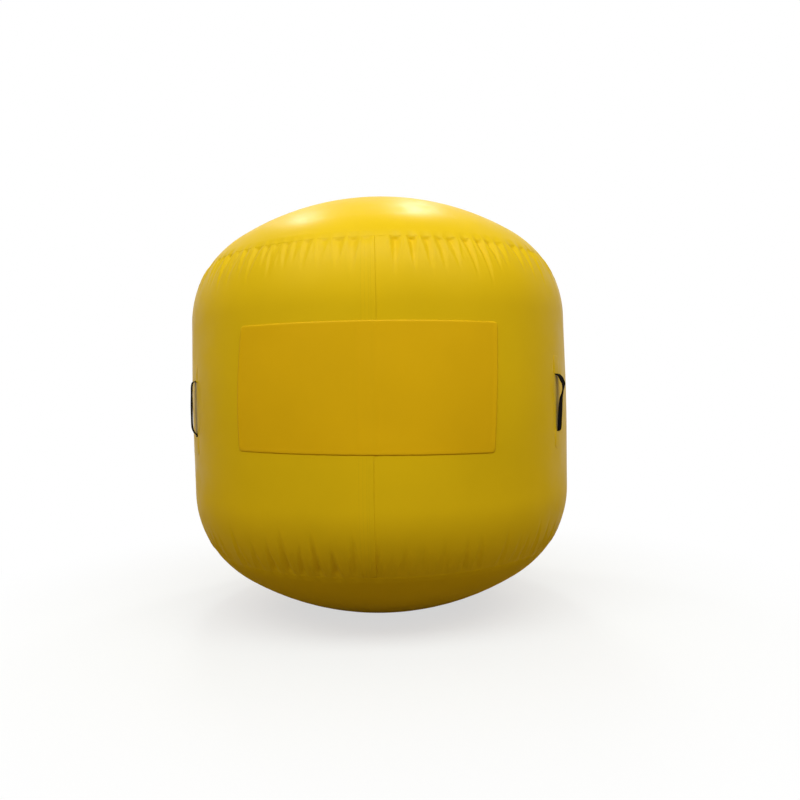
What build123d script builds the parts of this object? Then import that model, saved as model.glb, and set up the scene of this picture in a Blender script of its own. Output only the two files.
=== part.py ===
"""Inflatable regatta marker buoy.

A stubby barrel of coated fabric with two domed end discs, a bare sign panel on the front, three webbing
grab handles round the middle, an inflation valve on the top and a mooring ring under the bottom.
Millimetres, Z up, front towards -Y, standing on z = 0.
"""
from build123d import *
from math import acos, asin, cos, degrees, radians, sin, sqrt
import os

os.makedirs("parts", exist_ok=True)

# Envelope: outside of the inflated fabric
barrel_radius = 600.0
straight_height = 528.0
shoulder_radius = 310.0
crown_radius = 830.0
fabric = 0.9
seam_angle = 39.0
seam_overlap = 20.0
panel_count = 3
lap_width = 42.0
lap_turn = 1.1
lap_end_gap = 1.0
front_azimuth = -90.0

# Bottom: the foot the buoy stands on and the hollow the mooring ring lies in
foot_radius = 150.0
hollow_radius = 76.0
hollow_bend = 36.0
hollow_bend_angle = 41.4

# Sign panel on the front
sign_span = 69.0
sign_height = 341.0
sign_centre = 50.0
sign_corner = 9.0

# Grab handles
handle_offset = 62.0
handle_drop = 2.0
handle_span = 164.0
handle_tail = 36.0
handle_standoff = 19.0
handle_slope = 26.0
handle_bend = 14.0
strap_width = 25.0
strap_thickness = 2.0
patch_width = 46.0
patch_length = 48.0
patch_setback = 7.0
patch_corner = 16.0
seat_gap = 0.2

# Mooring ring, tab and patch
ring_wire = 8.0
ring_inside = 50.0
ring_corner = 9.0
ring_bow = 27.0
ring_depth = 46.0
ring_offset = -20.0
tab_width = 36.0
tab_webbing = 2.0
tab_length = 42.0
pivot_clearance = 0.3
mooring_patch_radius = 70.0

# Inflation valve
valve_bore = 19.0
valve_neck = 41.6
valve_collar = 34.0
valve_height = 14.0
valve_depth = 12.0
valve_lip = 54.0
valve_lip_thickness = 2.0
valve_flange = 96.0
valve_flange_thickness = 1.4
valve_spoke = 2.4
valve_flap = 30.0
valve_flap_thickness = 1.2
keeper_width = 4.0
keeper_thickness = 3.0
cap_clearance = 0.5
cap_wall = 2.4
cap_edge = 1.5
cap_rib = 1.6
cap_rib_count = 24
hinge_reach = 27.0
hinge_pin = 2.4
hinge_eye = 6.0
hinge_length = 10.0
hinge_ear = 3.0
hinge_clearance = 0.3

# Where the arcs of the outline meet
shoulder_centre = barrel_radius - shoulder_radius
crown_drop = sqrt((crown_radius - shoulder_radius) ** 2 - shoulder_centre**2)
crown_angle = degrees(acos(shoulder_centre / (crown_radius - shoulder_radius)))
dome_rise = crown_radius - crown_drop
foot_cut = crown_radius - sqrt(crown_radius**2 - foot_radius**2)
foot_angle = degrees(asin(foot_radius / crown_radius))
lower_turn = dome_rise - foot_cut
upper_turn = lower_turn + straight_height
middle = lower_turn + straight_height / 2
apex = upper_turn + dome_rise
overlap_angle = degrees(seam_overlap / shoulder_radius)
lap_angle = degrees(lap_width / barrel_radius)
panel_span = 360 / panel_count


def upright(azimuth):
    """Upright plane through the axis: x runs outwards at the azimuth, y runs up."""
    return Plane.XZ.rotated((0, 0, azimuth))


def facing(azimuth, radius, height):
    """Plane square to the radius at the azimuth: x runs round the barrel, y runs up, z points outwards."""
    out = Vector(cos(radians(azimuth)), sin(radians(azimuth)), 0)
    return Plane(origin=out * radius + Vector(0, 0, height), x_dir=Vector(-out.Y, out.X, 0), z_dir=out)


def wall_line(reach):
    """Outside of the wall from bottom to top, out to an angle round each shoulder."""
    CenterArc((shoulder_centre, lower_turn), shoulder_radius, -reach, reach)
    Line((barrel_radius, lower_turn), (barrel_radius, upper_turn))
    CenterArc((shoulder_centre, upper_turn), shoulder_radius, 0, reach)


def margin_line(turn, side):
    """The rim of an end disc, lapped over the end of the wall and run a little way onto the disc."""
    start = side * (seam_angle - overlap_angle)
    CenterArc((shoulder_centre, turn), shoulder_radius, start, side * overlap_angle * 1.25)


def save(piece, name):
    piece.part.label = name
    export_step(piece.part, f"parts/{name}.step")


# Wall: three sheets, each with a lap welded over the edge of the next
for index in range(panel_count):
    azimuth = front_azimuth + lap_turn + index * panel_span
    with BuildPart() as wall_panel:
        with BuildSketch(upright(azimuth)):
            with BuildLine():
                wall_line(seam_angle)
                offset(amount=fabric, side=Side.LEFT)
            make_face()
        revolve(axis=Axis.Z, revolution_arc=panel_span)
        with BuildSketch(upright(azimuth + panel_span - lap_angle / 2)):
            with BuildLine():
                wall_line(seam_angle - overlap_angle - degrees(lap_end_gap / shoulder_radius))
                offset(amount=fabric, side=Side.RIGHT)
            make_face()
        revolve(axis=Axis.Z, revolution_arc=lap_angle)
    save(wall_panel, f"wall_panel_{index + 1}")

# Top disc, open in the middle for the valve
hole_radius = valve_neck / 2 + seat_gap
hole_angle = degrees(asin(hole_radius / crown_radius))
with BuildPart() as top_disc:
    with BuildSketch(upright(0)):
        with BuildLine():
            CenterArc((shoulder_centre, upper_turn), shoulder_radius, seam_angle, crown_angle - seam_angle)
            CenterArc((0, upper_turn - crown_drop), crown_radius, crown_angle, 90 - crown_angle - hole_angle)
            offset(amount=fabric, side=Side.LEFT)
        make_face()
    revolve(axis=Axis.Z)
    with BuildSketch(upright(0)):
        with BuildLine():
            margin_line(upper_turn, 1)
            offset(amount=fabric, side=Side.RIGHT)
        make_face()
    revolve(axis=Axis.Z)
save(top_disc, "top_disc")

# Bottom disc: a flat foot ring round the hollow for the mooring ring
hollow_height = 2 * hollow_bend * (1 - cos(radians(hollow_bend_angle)))
foot_inside = hollow_radius + 2 * hollow_bend * sin(radians(hollow_bend_angle))
with BuildPart() as bottom_disc:
    with BuildSketch(upright(0)):
        with BuildLine():
            CenterArc((shoulder_centre, lower_turn), shoulder_radius, -seam_angle, seam_angle - crown_angle)
            crown_centre = (0, lower_turn + crown_drop)
            CenterArc(crown_centre, crown_radius, -crown_angle, crown_angle + foot_angle - 90)
            Line((foot_radius, 0), (foot_inside, 0))
            CenterArc((foot_inside, hollow_bend), hollow_bend, -90, -hollow_bend_angle)
            hollow_edge = (hollow_radius, hollow_height - hollow_bend)
            CenterArc(hollow_edge, hollow_bend, 90 - hollow_bend_angle, hollow_bend_angle)
            Line((hollow_radius, hollow_height), (0, hollow_height))
            offset(amount=fabric, side=Side.RIGHT)
        make_face()
    revolve(axis=Axis.Z)
    with BuildSketch(upright(0)):
        with BuildLine():
            margin_line(lower_turn, -1)
            offset(amount=fabric, side=Side.LEFT)
        make_face()
    revolve(axis=Axis.Z)
save(bottom_disc, "bottom_disc")

# Sign panel, lying over the front lap
with BuildPart() as sign_panel:
    with BuildSketch(upright(front_azimuth - sign_span / 2)):
        with Locations((barrel_radius + fabric, middle + sign_centre)):
            Rectangle(fabric, sign_height, align=(Align.MIN, Align.CENTER))
    revolve(axis=Axis.Z, revolution_arc=sign_span)
    corners = sign_panel.edges().filter_by(lambda edge: abs(edge.length - fabric) < 0.01)
    fillet(corners, radius=sign_corner)
save(sign_panel, "sign_panel")

# Grab handles: webbing with both tails under welded patches
handle_middle = middle - handle_drop
handle_foot = handle_span / 2
strap_seat = barrel_radius + seat_gap
strap_out = strap_seat + handle_standoff
pocket = seat_gap + strap_thickness + seat_gap
tail_covered = handle_tail - patch_setback + seat_gap
handle_azimuths = (front_azimuth + handle_offset, front_azimuth + 180, front_azimuth - handle_offset)
patch_ends = (("upper", 1), ("lower", -1))
for number, azimuth in enumerate(handle_azimuths, start=1):
    with BuildPart() as handle_strap:
        with BuildSketch(upright(azimuth)):
            with BuildLine():
                FilletPolyline(
                    (strap_seat, handle_middle - handle_foot - handle_tail),
                    (strap_seat, handle_middle - handle_foot),
                    (strap_out, handle_middle - handle_foot + handle_slope),
                    (strap_out, handle_middle + handle_foot - handle_slope),
                    (strap_seat, handle_middle + handle_foot),
                    (strap_seat, handle_middle + handle_foot + handle_tail),
                    radius=handle_bend,
                )
                offset(amount=strap_thickness, side=Side.RIGHT)
            make_face()
        extrude(amount=strap_width / 2, both=True)
    save(handle_strap, f"handle_strap_{number}")

    for end_name, side in patch_ends:
        near_edge = handle_middle + side * (handle_foot + patch_setback)
        seat = facing(azimuth, barrel_radius - fabric, near_edge)
        near = Align.MIN if side > 0 else Align.MAX
        with BuildPart() as handle_patch:
            with BuildSketch(seat):
                Rectangle(patch_width, patch_length, align=(Align.CENTER, near))
                far_corners = vertices().group_by(Axis.Y)[-1 if side > 0 else 0]
                fillet(far_corners, radius=patch_corner)
            extrude(amount=3 * fabric)
            with Locations((0, 0, near_edge)):
                Cylinder(barrel_radius + fabric, 3 * patch_length, mode=Mode.INTERSECT)
            with BuildSketch(seat):
                Rectangle(strap_width + 2 * fabric, tail_covered + fabric, align=(Align.CENTER, near))
            extrude(amount=2 * fabric + pocket)
            with BuildSketch(seat):
                Rectangle(strap_width + 2 * seat_gap, tail_covered, align=(Align.CENTER, near))
            extrude(amount=fabric + pocket, mode=Mode.SUBTRACT)
            with Locations((0, 0, near_edge)):
                Cylinder(barrel_radius, 3 * patch_length, mode=Mode.SUBTRACT)
        save(handle_patch, f"handle_patch_{number}_{end_name}")

# Mooring patch on the roof of the hollow
patch_face = hollow_height - fabric
with BuildPart() as mooring_patch:
    with BuildSketch(Plane.XY.offset(patch_face)):
        Circle(mooring_patch_radius)
    extrude(amount=fabric)
save(mooring_patch, "mooring_patch")

# Mooring tab: doubled webbing folded round the bar of the ring
bar_hole = ring_wire / 2 + pivot_clearance
loop_radius = bar_hole + tab_webbing
bar_height = patch_face - tab_webbing - loop_radius
with BuildPart() as mooring_tab:
    with BuildSketch(upright(90)):
        with Locations((ring_offset, bar_height)):
            Circle(loop_radius)
        with Locations((ring_offset, patch_face)):
            Rectangle(tab_length, 2 * tab_webbing, align=(Align.MAX, Align.MAX))
        with Locations((ring_offset, bar_height)):
            Circle(bar_hole, mode=Mode.SUBTRACT)
    extrude(amount=tab_width / 2, both=True)
save(mooring_tab, "mooring_tab")

# Mooring ring, lying flat in the hollow
ring_half = (ring_inside + ring_wire) / 2
with BuildPart() as mooring_ring:
    with BuildLine(Plane.XY.offset(bar_height)) as ring_path:
        FilletPolyline(
            (-ring_half, ring_offset),
            (ring_half, ring_offset),
            (ring_half, ring_offset + ring_depth),
            (-ring_half, ring_offset + ring_depth),
            radius=(ring_corner, ring_corner, ring_bow, ring_bow),
            close=True,
        )
    with BuildSketch(Plane(origin=(0, ring_offset, bar_height), z_dir=(1, 0, 0))):
        Circle(ring_wire / 2)
    sweep(path=ring_path.wire())
save(mooring_ring, "mooring_ring")

# Valve flange, welded round the hole in the top disc
flange_angle = degrees(asin(valve_flange / 2 / crown_radius))
with BuildPart() as valve_flange_sheet:
    with BuildSketch(upright(0)):
        with BuildLine():
            crown_centre = (0, upper_turn - crown_drop)
            CenterArc(crown_centre, crown_radius, 90 - flange_angle, flange_angle - hole_angle)
            offset(amount=valve_flange_thickness, side=Side.RIGHT)
        make_face()
    revolve(axis=Axis.Z)
save(valve_flange_sheet, "valve_flange")

# Valve base: bored collar, lip on the flange and neck through the fabric, with spokes under the bore
lip_seat = apex + valve_flange_thickness + seat_gap
lip_top = lip_seat + valve_lip_thickness
mouth = apex + valve_height
neck_end = apex - valve_depth
with BuildPart() as valve_base:
    with BuildSketch(upright(0)):
        with BuildLine():
            Polyline(
                (valve_bore / 2, neck_end),
                (valve_neck / 2, neck_end),
                (valve_neck / 2, lip_seat),
                (valve_lip / 2, lip_seat),
                (valve_lip / 2, lip_top),
                (valve_collar / 2, lip_top),
                (valve_collar / 2, mouth),
                (valve_bore / 2, mouth),
                close=True,
            )
        make_face()
    revolve(axis=Axis.Z)
    with BuildSketch(Plane.XY.offset(neck_end)):
        Rectangle(valve_neck, valve_spoke)
        Rectangle(valve_spoke, valve_neck)
        Circle(valve_neck / 2, mode=Mode.INTERSECT)
    extrude(amount=-valve_spoke)
save(valve_base, "valve_base")

# Valve flap, held up under the spokes
with BuildPart() as valve_flap_disc:
    with BuildSketch(Plane.XY.offset(neck_end - valve_spoke)):
        Circle(valve_flap / 2)
    extrude(amount=-valve_flap_thickness)
save(valve_flap_disc, "valve_flap")

# Keeper ring round the collar, with two ears and the hinge pin
keeper_inside = valve_collar / 2 + seat_gap
keeper_base = lip_top + seat_gap
keeper_top = keeper_base + keeper_thickness
hinge_height = keeper_top + hinge_eye / 2
ear_offset = hinge_length / 2 + hinge_clearance
with BuildPart() as valve_keeper:
    with BuildSketch(Plane.XY.offset(keeper_base)):
        Circle(keeper_inside + keeper_width)
        Circle(keeper_inside, mode=Mode.SUBTRACT)
    extrude(amount=keeper_thickness)
    for side in (1, -1):
        with BuildSketch(Plane.YZ.offset(side * ear_offset)):
            with BuildLine():
                Polyline(
                    (keeper_inside + keeper_width / 2, keeper_base),
                    (hinge_reach + hinge_eye / 2, keeper_base),
                    (hinge_reach + hinge_eye / 2, hinge_height),
                    (hinge_reach - hinge_eye / 2, hinge_height),
                    (keeper_inside + keeper_width / 2, keeper_top),
                    close=True,
                )
            make_face()
            with Locations((hinge_reach, hinge_height)):
                Circle(hinge_eye / 2)
        extrude(amount=side * hinge_ear)
    with BuildSketch(Plane.YZ):
        with Locations((hinge_reach, hinge_height)):
            Circle(hinge_pin / 2)
    extrude(amount=ear_offset + hinge_ear / 2, both=True)
save(valve_keeper, "valve_keeper")

# Valve cap: ribbed skirt over the collar, strap and eye on the hinge pin
cap_inside = valve_collar / 2 + cap_clearance
cap_outside = cap_inside + cap_wall
skirt_end = keeper_top + cap_clearance
cap_under = mouth + cap_clearance
with BuildPart() as valve_cap:
    with BuildSketch(Plane.XY.offset(skirt_end)):
        Circle(cap_outside)
    extrude(amount=cap_under + cap_wall - skirt_end)
    fillet(valve_cap.edges().group_by(Axis.Z)[-1], radius=cap_edge)
    with BuildSketch(Plane.XY.offset(skirt_end)):
        Circle(cap_outside)
        with PolarLocations(cap_outside, cap_rib_count):
            Circle(cap_rib / 2)
    extrude(amount=cap_under + cap_wall - cap_edge - skirt_end)
    with BuildSketch(Plane.XY.offset(skirt_end)):
        Circle(cap_inside)
    extrude(amount=cap_under - skirt_end, mode=Mode.SUBTRACT)
    with BuildSketch(Plane.YZ):
        with Locations((cap_outside - cap_wall / 2, hinge_height)):
            Rectangle(hinge_reach - cap_outside + cap_wall / 2, hinge_eye / 2, align=(Align.MIN, Align.CENTER))
        with Locations((hinge_reach, hinge_height)):
            Circle(hinge_eye / 2)
            Circle(hinge_pin / 2 + hinge_clearance, mode=Mode.SUBTRACT)
    extrude(amount=hinge_length / 2, both=True)
save(valve_cap, "valve_cap")
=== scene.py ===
# %% [markdown]
# # Dressing an inflatable regatta marker buoy
# The buoy is a stubby barrel of yellow coated fabric, blown up hard. The CAD model already holds its real
# size and its moving parts, so this lesson loads it as a fixed frame and builds the soft surfaces over it:
# gathered wall sheets, domed end discs, a bare sign panel, webbing handles and the fittings' finishes.
# The dressed buoy has to stay the same size as the plain CAD model.

# %% Load the frame
import math

import bpy
import numpy as np
from mathutils import Matrix, Vector


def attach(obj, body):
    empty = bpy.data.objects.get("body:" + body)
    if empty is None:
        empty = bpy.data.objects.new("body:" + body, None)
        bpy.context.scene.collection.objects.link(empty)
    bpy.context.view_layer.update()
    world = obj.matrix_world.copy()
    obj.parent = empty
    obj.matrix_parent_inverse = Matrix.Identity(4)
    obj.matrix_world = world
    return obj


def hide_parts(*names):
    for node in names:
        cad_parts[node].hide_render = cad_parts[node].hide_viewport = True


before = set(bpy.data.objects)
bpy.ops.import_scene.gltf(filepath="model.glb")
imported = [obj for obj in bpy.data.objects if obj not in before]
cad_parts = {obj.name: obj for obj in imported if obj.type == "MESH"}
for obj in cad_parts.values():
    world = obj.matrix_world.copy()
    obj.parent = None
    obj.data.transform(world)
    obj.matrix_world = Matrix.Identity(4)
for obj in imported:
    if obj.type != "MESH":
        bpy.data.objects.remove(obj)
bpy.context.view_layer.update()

# %% [markdown]
# ## The outline
# A blown-up barrel is made of arcs: a straight wall, a shoulder that turns inwards and a shallow crown.
# The same few numbers as in the CAD source give every point of it, in metres. The wall is described by the
# distance down from its top edge, as a sheet maker would measure it along the fabric.

# %% Sizes of the blown-up shape
barrel_radius = 0.600
straight_height = 0.528
shoulder_radius = 0.310
crown_radius = 0.830
fabric = 0.0009
seam_angle = math.radians(39)
seam_overlap = 0.020
foot_radius = 0.150
belly = 0.0045
belly_spread = 0.21
front = math.radians(-90)

shoulder_centre = barrel_radius - shoulder_radius
crown_drop = math.sqrt((crown_radius - shoulder_radius) ** 2 - shoulder_centre**2)
crown_angle = math.acos(shoulder_centre / (crown_radius - shoulder_radius))
dome_rise = crown_radius - crown_drop
foot_cut = crown_radius - math.sqrt(crown_radius**2 - foot_radius**2)
lower_turn = dome_rise - foot_cut
upper_turn = lower_turn + straight_height
middle = lower_turn + straight_height / 2
apex = upper_turn + dome_rise
shoulder_length = shoulder_radius * seam_angle
wall_length = 2 * shoulder_length + straight_height


def bulge(height):
    """How far air pushes the middle of the wall out of its straight line."""
    return belly * np.exp(-(((height - middle) / belly_spread) ** 2))


def wall_outline(down):
    """Radius, height and upward tilt of the smooth wall, at distances down from its top edge."""
    above = np.clip(seam_angle - down / shoulder_radius, 0, None)
    below = np.clip(seam_angle - (wall_length - down) / shoulder_radius, 0, None)
    radius = barrel_radius - shoulder_radius * (2 - np.cos(above) - np.cos(below))
    straight = np.clip(down - shoulder_length, 0, straight_height)
    height = upper_turn - straight + shoulder_radius * (np.sin(above) - np.sin(below))
    return radius + bulge(height), height, above - below


def turned(radius, height, azimuth):
    """Points of rows of radius and height, turned to columns of azimuth."""
    radius, height, azimuth = np.broadcast_arrays(radius, height, azimuth)
    return np.stack([radius * np.cos(azimuth), radius * np.sin(azimuth), height], -1)


print(f"wall sheet {wall_length:.3f} m long, top of the dome at {apex:.3f} m")

# %% [markdown]
# ## The camera
# The photograph was taken level with the buoy's waist, a little to the right of its front, from close by:
# both domes are seen from the side, and the wall looks wider in the middle. A perspective camera at that
# distance repeats this. The small shift puts the buoy at its place in the frame.

# %% Camera
eye_distance = 2.4
eye_height = 0.6883
eye_turn = math.radians(3.3)
eye_roll = -0.024
lens_length = 32.28
lens_shift = (0.02593, -0.0106)

lens = bpy.data.cameras.new("eye")
lens.lens = lens_length
lens.shift_x, lens.shift_y = lens_shift
eye = bpy.data.objects.new("eye", lens)
bpy.context.scene.collection.objects.link(eye)
eye_place = Vector((eye_distance * math.sin(eye_turn), -eye_distance * math.cos(eye_turn), eye_height))
eye.matrix_world = (
    Matrix.Translation(eye_place)
    @ Matrix.Rotation(eye_turn, 4, "Z")
    @ Matrix.Rotation(math.radians(90), 4, "X")
    @ Matrix.Rotation(eye_roll, 4, "Z")
)
bpy.context.scene.camera = eye
bpy.context.scene.view_settings.view_transform = "Standard"
print("camera at", tuple(round(x, 3) for x in eye_place))

# %% [markdown]
# ## The studio
# The buoy stands in a hall with lamps overhead: two soft bright patches on the dome, a wall that darkens
# downwards and a dark underside. The floor is paper white to the eye but gives little light back, and it
# turns to plain white away from the buoy, so the object's soft shadow stays and the background is clean.

# %% Paper floor
floor_reach = 30.0
floor_level = -0.0005
floor_white = (0.95, 0.95, 0.95)
floor_bounce = (0.28, 0.225, 0.17)
shadow_share = 0.36
shadow_fade = (0.55, 1.6)


def wired(tree, kind, feeds, result=0, **settings):
    """What a new node gives. Its inputs take plain values or what other nodes give."""
    node = tree.nodes.new("ShaderNode" + kind)
    for setting, choice in settings.items():
        setattr(node, setting, choice)
    for name, value in feeds.items():
        if isinstance(value, bpy.types.NodeSocket):
            tree.links.new(value, node.inputs[name])
        else:
            node.inputs[name].default_value = value
    return node.outputs[result]


def maths(tree, operation, *values):
    """One step of arithmetic, on numbers or on what other nodes give."""
    return wired(tree, "Math", dict(enumerate(values)), operation=operation)


def between(tree, value, low, high, start=0.3, end=0.7, ramp="LINEAR"):
    """From low to high, while the value runs from start to end."""
    feeds = {"Value": value, "From Min": start, "From Max": end, "To Min": low, "To Max": high}
    return wired(tree, "MapRange", feeds, interpolation_type=ramp)


def seen_directly(tree):
    """1 for what the eye, a reflection or a clear piece shows, and 0 for scattered light."""
    path = tree.nodes.new("ShaderNodeLightPath")
    total = path.outputs["Is Camera Ray"]
    for ray in ("Is Glossy Ray", "Is Transmission Ray"):
        total = maths(tree, "MAXIMUM", total, path.outputs[ray])
    return total


def paper_floor():
    paper = bpy.data.materials.new("paper_floor")
    paper.use_nodes = True
    tree = paper.node_tree
    tree.nodes.clear()
    place = wired(tree, "TexCoord", {}, "Object")
    away = wired(tree, "VectorMath", {0: place}, "Value", operation="LENGTH")
    clean = between(tree, away, 1 - shadow_share, 1, *shadow_fade, ramp="SMOOTHSTEP")
    seen = wired(tree, "BsdfDiffuse", {"Color": (*floor_white, 1)})
    dim = wired(tree, "BsdfDiffuse", {"Color": (*floor_bounce, 1)})
    shown = wired(tree, "MixShader", {"Fac": clean, 1: seen, 2: wired(tree, "Emission", {})})
    by_ray = wired(tree, "MixShader", {"Fac": seen_directly(tree), 1: dim, 2: shown})
    out = tree.nodes.new("ShaderNodeOutputMaterial")
    tree.links.new(by_ray, out.inputs["Surface"])
    return paper


floor_mesh = bpy.data.meshes.new("floor")
square = ((-1, -1), (1, -1), (1, 1), (-1, 1))
floor_corners = [(x * floor_reach, y * floor_reach, floor_level) for x, y in square]
floor_mesh.from_pydata(floor_corners, [], [(0, 1, 2, 3)])
floor = bpy.data.objects.new("floor", floor_mesh)
floor_mesh.materials.append(paper_floor())
bpy.context.scene.collection.objects.link(floor)
print("floor", 2 * floor_reach, "m wide")

# %% [markdown]
# Two small softboxes high behind the buoy make the bright patches, and a wide one in front lights the wall.
# One more overhead shows only in the fabric's gloss, along the upper seam, and a low one behind lights only
# the back. Lamps and hall could share one white, but here the lamps are a little cool and the hall's own
# light is warm, so the yellow runs from lemon at the top to gold below. The eye still sees a white hall.

# %% Light of the hall
hall_level = 0.32
warm = (1.0, 0.85, 0.70)


def mixed(tree, factor, first, second):
    """A colour between two, by the factor."""
    feeds = {"Factor": factor, "A": (*first, 1), "B": (*second, 1)}
    return wired(tree, "Mix", feeds, "Result", data_type="RGBA")


hall = bpy.data.worlds.new("hall")
hall.use_nodes = True
bpy.context.scene.world = hall
hall_tree = hall.node_tree
hall_light = mixed(hall_tree, seen_directly(hall_tree), [hall_level * share for share in warm], (1, 1, 1))
hall_tree.links.new(hall_light, hall_tree.nodes["Background"].inputs["Color"])
print("hall light at", hall_level, "of white")

# %% Softboxes
cool = (0.91, 1.0, 1.0)
softboxes = (
    # name, place, width, depth, power, aimed at, lights surfaces, shows in gloss
    ("left_softbox", (-0.95, 1.20, 3.1), 0.4, 0.4, 13.5, (0, 0, 0.9), True, True),
    ("right_softbox", (0.40, 1.55, 3.2), 0.4, 0.4, 13.5, (0, 0, 0.9), True, True),
    ("front_softbox", (0.2, -2.2, 3.2), 7.0, 1.8, 137, (0, 0, 0.7), True, True),
    ("gloss_softbox", (0, -1.35, 3.3), 4.0, 1.0, 130, (0, -0.5, 1.0), False, True),
    ("back_softbox", (0, 3.4, 1.5), 2.0, 1.6, 38, (0, 0, 0.7), True, False),
)
for name, place, width, depth, power, target, lights_surfaces, shows_in_gloss in softboxes:
    lamp = bpy.data.lights.new(name, "AREA")
    lamp.shape = "RECTANGLE"
    lamp.size, lamp.size_y = width, depth
    lamp.energy = power
    lamp.color = cool
    softbox = bpy.data.objects.new(name, lamp)
    softbox.location = place
    softbox.visible_diffuse = lights_surfaces
    softbox.visible_glossy = shows_in_gloss
    softbox.visible_camera = False
    softbox.rotation_euler = (Vector(target) - Vector(place)).to_track_quat("-Z", "Y").to_euler()
    bpy.context.scene.collection.objects.link(softbox)
print("studio:", len(softboxes), "softboxes")

# %% [markdown]
# ## Finishes
# Coated fabric is a polyester weave under a soft plastic skin: an even strong colour, a satin shine and,
# from near, the weave showing through as fine ribs. A flat colour would look like paint, so the colour
# drifts a little, the shine is uneven where hands rubbed it, and the ribs follow the cut of each sheet by
# its own map, measured in metres.

# %% Helpers for finishes
def new_finish(name, colour, roughness, ior=1.45, metallic=0.0):
    finish = bpy.data.materials.new(name)
    finish.use_nodes = True
    shader = finish.node_tree.nodes["Principled BSDF"]
    shader.inputs["Base Color"].default_value = (*colour, 1)
    shader.inputs["Roughness"].default_value = roughness
    shader.inputs["IOR"].default_value = ior
    shader.inputs["Metallic"].default_value = metallic
    return finish, finish.node_tree, shader


def mottle(tree, scale, detail=3.0, stretch=(1, 1, 1)):
    """Cloudy noise fixed to the object, about 0.5 on average."""
    place = wired(tree, "TexCoord", {}, "Object")
    place = wired(tree, "Mapping", {"Vector": place, "Scale": stretch})
    return wired(tree, "TexNoise", {"Vector": place, "Scale": scale, "Detail": detail}, "Fac")


def tinted(tree, shader, factor, dark, light):
    """Base colour drifting between two tones."""
    tree.links.new(mixed(tree, factor, dark, light), shader.inputs["Base Color"])


def raised(tree, shader, height, distance, strength=1.0, under=None):
    """Fine relief too small for the mesh."""
    feeds = {"Height": height, "Distance": distance, "Strength": strength}
    if under is not None:
        feeds["Normal"] = under
    relief = wired(tree, "Bump", feeds)
    tree.links.new(relief, shader.inputs["Normal"])
    return relief


def cut_map(tree):
    """Across and along the cut sheet, in metres."""
    place = wired(tree, "UVMap", {}, uv_map="cut")
    return [wired(tree, "SeparateXYZ", {"Vector": place}, axis) for axis in "XY"]


def ribs(tree, place, pitch):
    """A wave from -1 to 1 that repeats every pitch."""
    return maths(tree, "SINE", maths(tree, "MULTIPLY", place, 2 * math.pi / pitch))


print("helpers for finishes ready")

# %% Coated fabric and its warmer sign sheet
yellow = (0.78, 0.500, 0.006)
sign_yellow = (0.80, 0.46, 0.005)
tone_range = (0.86, 1.035)
weave_pitch = 0.0013
weave_height = 0.00001
skin_grain = 0.00006
weld_lines = (-0.0135, -0.0190, -0.0290, -0.0390)
# Painted shade in the weld grooves: how much darker the colour is on them.
weld_groove_shade = 0.38
rubbed_range = (-0.05, 0.07)
scuff_heights = (0.12, 0.48)
scuff_dulling = 0.30


def painted_groove_shade(tree, across):
    """Painted shade of the welding bar's thin grooves beside a lap's free edge: 1 on them, broken along their
    run.
    """
    marks = 0.0
    for place in weld_lines:
        away = maths(tree, "ABSOLUTE", maths(tree, "SUBTRACT", across, place))
        marks = maths(tree, "MAXIMUM", between(tree, away, 1, 0, 0.0004, 0.0016), marks)
    return maths(tree, "MULTIPLY", marks, between(tree, mottle(tree, 70, 2), 0.25, 1))


def scuffs(tree):
    """1 on the underside, which the ground rubs dull, and 0 from the lower shoulder upwards."""
    place = wired(tree, "TexCoord", {}, "Object")
    return between(tree, wired(tree, "SeparateXYZ", {"Vector": place}, "Z"), 1, 0, *scuff_heights)


def coated_fabric(name, colour, roughness, ior=1.10, lapped=False):
    finish, tree, shader = new_finish(name, colour, roughness, ior)
    across, along = cut_map(tree)
    dull = scuffs(tree)
    tone = between(tree, mottle(tree, 3.1, 4), 0.55, 1)
    # On a lapped sheet the shade in the weld grooves is painted into the colour as darker lines.
    if lapped:
        tone = maths(tree, "SUBTRACT", tone, maths(tree, "MULTIPLY", painted_groove_shade(tree, across), weld_groove_shade))
    tinted(tree, shader, tone, *[[share * c for c in colour] for share in tone_range])
    rubbed = between(tree, mottle(tree, 14, 3), *[roughness + change for change in rubbed_range])
    dulled = maths(tree, "ADD", rubbed, maths(tree, "MULTIPLY", dull, scuff_dulling))
    tree.links.new(dulled, shader.inputs["Roughness"])
    weave = maths(tree, "ADD", ribs(tree, across, weave_pitch), ribs(tree, along, weave_pitch))
    skin = raised(tree, shader, mottle(tree, 260, 2), skin_grain, 0.35)
    raised(tree, shader, weave, weave_height, 0.4, under=skin)
    return finish


wall_finish = coated_fabric("lapped_coated_fabric", yellow, 0.36, lapped=True)
dome_finish = coated_fabric("yellow_coated_fabric", yellow, 0.36)
# The underside's copy is rougher where the ground rubs it. Its weaker shine is painted shade that keeps the
# underside dark.
under_finish = coated_fabric("scuffed_shaded_coated_fabric", yellow, 0.40, ior=1.06)
sign_finish = coated_fabric("sign_coated_fabric", sign_yellow, 0.42)
print("coated fabric:", wall_finish.name, dome_finish.name, under_finish.name, sign_finish.name)

# %% [markdown]
# Webbing is a thick narrow weave of dark polyester: warp cords run along it and the weft ties them every
# couple of millimetres. Two crossed waves with every other row moved half a step give that look from near,
# and a rough, dull shader gives it from far.

# %% Webbing and thread
cord_width = 0.0016
pick_pitch = 0.0040


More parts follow.
